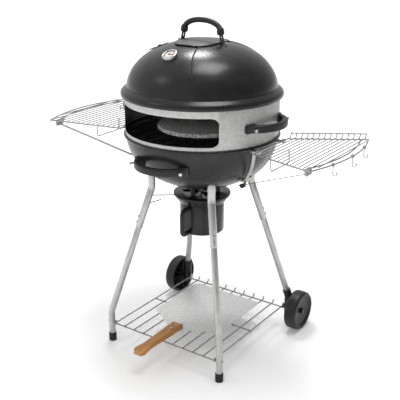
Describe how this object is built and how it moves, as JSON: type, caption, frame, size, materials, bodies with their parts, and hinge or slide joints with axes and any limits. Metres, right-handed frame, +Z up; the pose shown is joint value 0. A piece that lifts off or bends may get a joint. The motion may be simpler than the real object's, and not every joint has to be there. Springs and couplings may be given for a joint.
{
  "type": "kettle charcoal grill",
  "caption": "Kettle charcoal grill on silver tube legs with a domed lid, a galvanised pizza ring with a stone, folding wire side tables, an ash catcher, a wire shelf and wheels.",
  "frame": {"origin": "on the floor under the middle of the grill's bounding box", "axes": "+Z up, -Y towards the front with the ring's opening and the ash can's grip, +X to the grill's right as seen from the front"},
  "size_m": [1.2277, 0.7366, 1.2622],
  "materials": {
    "enamel": "glossy black porcelain enamel",
    "galvanised": "satin galvanised sheet",
    "leg_metal": "satin silver tube",
    "frame_wire": "dull zinc-plated wire",
    "bright_wire": "plated grate wire",
    "grate_wire": "plain steel wire",
    "strap_steel": "plain steel strip",
    "bright_steel": "plated fasteners and trim",
    "black_steel": "satin black paint",
    "grip_plastic": "satin black heat-proof plastic",
    "wheel_plastic": "satin black plastic",
    "foot_rubber": "matt black",
    "dial": "white dial",
    "stone": "matt speckled grey",
    "oak": "oiled light oak"
  },
  "bodies": {
    "kettle": {"bowl": "enamel", "charcoal_grate": "grate_wire", "cooking_grate": "bright_wire", "bowl_handle_bracket": "black_steel", "bowl_handle_grip": "grip_plastic", "bowl_handle_bolts": "bright_steel", "leg_sockets": "enamel", "upper_leg_front_left": "leg_metal", "upper_leg_front_right": "leg_metal", "upper_leg_rear_right": "leg_metal", "upper_leg_rear_left": "leg_metal", "lower_leg_front_left": "leg_metal", "lower_leg_front_right": "leg_metal", "lower_leg_rear_right": "leg_metal", "lower_leg_rear_left": "leg_metal", "leg_screws": "bright_steel", "foot_caps": "foot_rubber", "wheel_bracket_right": "grip_plastic", "wheel_bracket_left": "grip_plastic", "axles": "bright_steel", "axle_nuts": "grip_plastic", "shelf": "frame_wire", "shelf_bolts": "bright_steel", "ash_plate": "enamel", "ash_plate_bolts": "bright_steel", "table_bracket_right": "strap_steel", "table_bracket_left": "strap_steel", "strut_knobs": "grip_plastic"},
    "pizza_ring": {"ring_band": "galvanised", "ring_handle_right": "grip_plastic", "ring_handle_left": "grip_plastic", "ring_handle_bolts": "bright_steel", "stone_rack": "black_steel"},
    "stone": {"pizza_stone": "stone"},
    "lid": {"lid_shell": "enamel", "lid_handle_straps": "black_steel", "lid_handle_grip": "grip_plastic", "lid_handle_shield": "black_steel", "lid_handle_screws": "bright_steel", "thermometer_case": "bright_steel", "thermometer_dial": "dial", "thermometer_stem": "bright_steel"},
    "needle": {"thermometer_needle": "black_steel"},
    "damper": {"lid_damper": "strap_steel"},
    "ash_catcher": {"ash_can": "enamel", "ash_can_grip": "grip_plastic"},
    "sweeper": {"sweeper_blades": "strap_steel", "sweeper_lever": "frame_wire"},
    "table_r": {"table_right": "frame_wire"},
    "table_l": {"table_left": "frame_wire"},
    "strut_r": {"strut_right": "strap_steel"},
    "strut_l": {"strut_left": "strap_steel"},
    "hook_a": {"hook_front": "frame_wire"},
    "hook_b": {"hook_middle": "frame_wire"},
    "hook_c": {"hook_rear": "frame_wire"},
    "wheel_r": {"wheel_right": "wheel_plastic"},
    "wheel_l": {"wheel_left": "wheel_plastic"},
    "peel": {"peel_blade": "galvanised", "peel_handle": "oak", "peel_rivets": "bright_steel"}
  },
  "joints": [
    {"name": "ring_lift", "type": "slide", "parent": "kettle", "child": "pizza_ring", "axis": [0, 0, 1], "range_m": [0, 0.25]},
    {"name": "lid_lift", "type": "slide", "parent": "pizza_ring", "child": "lid", "axis": [0, 0, 1], "range_m": [0, 0.4]},
    {"name": "needle_turn", "type": "hinge", "parent": "lid", "child": "needle", "pos_m": [-0.00926, -0.1451, 1.14637], "axis": [-0.0232, -0.4432, 0.8961], "range_deg": [-130, 130]},
    {"name": "damper_turn", "type": "hinge", "parent": "lid", "child": "damper", "pos_m": [-0.15938, -0.01105, 1.15195], "axis": [-0.3856, -0.1033, 0.9169], "range_deg": [0, 60]},
    {"name": "stone_slide", "type": "slide", "parent": "pizza_ring", "child": "stone", "axis": [0, -1, 0], "range_m": [0, 0.45]},
    {"name": "ash_can_drop", "type": "slide", "parent": "kettle", "child": "ash_catcher", "axis": [0, 0, -1], "range_m": [0, 0.15]},
    {"name": "sweeper_turn", "type": "hinge", "parent": "kettle", "child": "sweeper", "pos_m": [0, 0.03166, 0.597], "axis": [0, 0, 1], "range_deg": [-40, 2]},
    {"name": "table_right_fold", "type": "hinge", "parent": "kettle", "child": "table_r", "pos_m": [0.2975, 0.03166, 0.838], "axis": [0, 1, 0], "range_deg": [0, 85]},
    {"name": "table_left_fold", "type": "hinge", "parent": "kettle", "child": "table_l", "pos_m": [-0.2975, 0.03166, 0.838], "axis": [0, -1, 0], "range_deg": [0, 85]},
    {"name": "strut_right_swing", "type": "hinge", "parent": "table_r", "child": "strut_r", "pos_m": [0.54301, -0.16834, 0.83613], "axis": [0, 1, 0], "range_deg": [-150, 0]},
    {"name": "strut_left_swing", "type": "hinge", "parent": "table_l", "child": "strut_l", "pos_m": [-0.54301, -0.16834, 0.83613], "axis": [0, -1, 0], "range_deg": [-150, 0]},
    {"name": "hook_front_swing", "type": "hinge", "parent": "table_r", "child": "hook_a", "pos_m": [0.59188, -0.08886, 0.85497], "axis": [0, 1, 0], "range_deg": [-90, 0]},
    {"name": "hook_middle_swing", "type": "hinge", "parent": "table_r", "child": "hook_b", "pos_m": [0.60399, 0.03166, 0.85567], "axis": [0, 1, 0], "range_deg": [-90, 0]},
    {"name": "hook_rear_swing", "type": "hinge", "parent": "table_r", "child": "hook_c", "pos_m": [0.59188, 0.15218, 0.85497], "axis": [0, 1, 0], "range_deg": [-90, 0]},
    {"name": "wheel_right_spin", "type": "hinge", "parent": "kettle", "child": "wheel_r", "pos_m": [0.3, 0.28834, 0.08], "axis": [1, 0, 0], "continuous": true},
    {"name": "wheel_left_spin", "type": "hinge", "parent": "kettle", "child": "wheel_l", "pos_m": [-0.3, 0.28834, 0.08], "axis": [1, 0, 0], "continuous": true},
    {"name": "peel_slide", "type": "slide", "parent": "kettle", "child": "peel", "axis": [0, -1, 0], "range_m": [0, 0.45]}
  ],
  "couplings": [
    {"joint": "strut_right_swing", "follows": "table_right_fold", "ratio": -1.741},
    {"joint": "strut_left_swing", "follows": "table_left_fold", "ratio": -1.741},
    {"joint": "hook_front_swing", "follows": "table_right_fold", "ratio": -1},
    {"joint": "hook_middle_swing", "follows": "table_right_fold", "ratio": -1},
    {"joint": "hook_rear_swing", "follows": "table_right_fold", "ratio": -1}
  ]
}
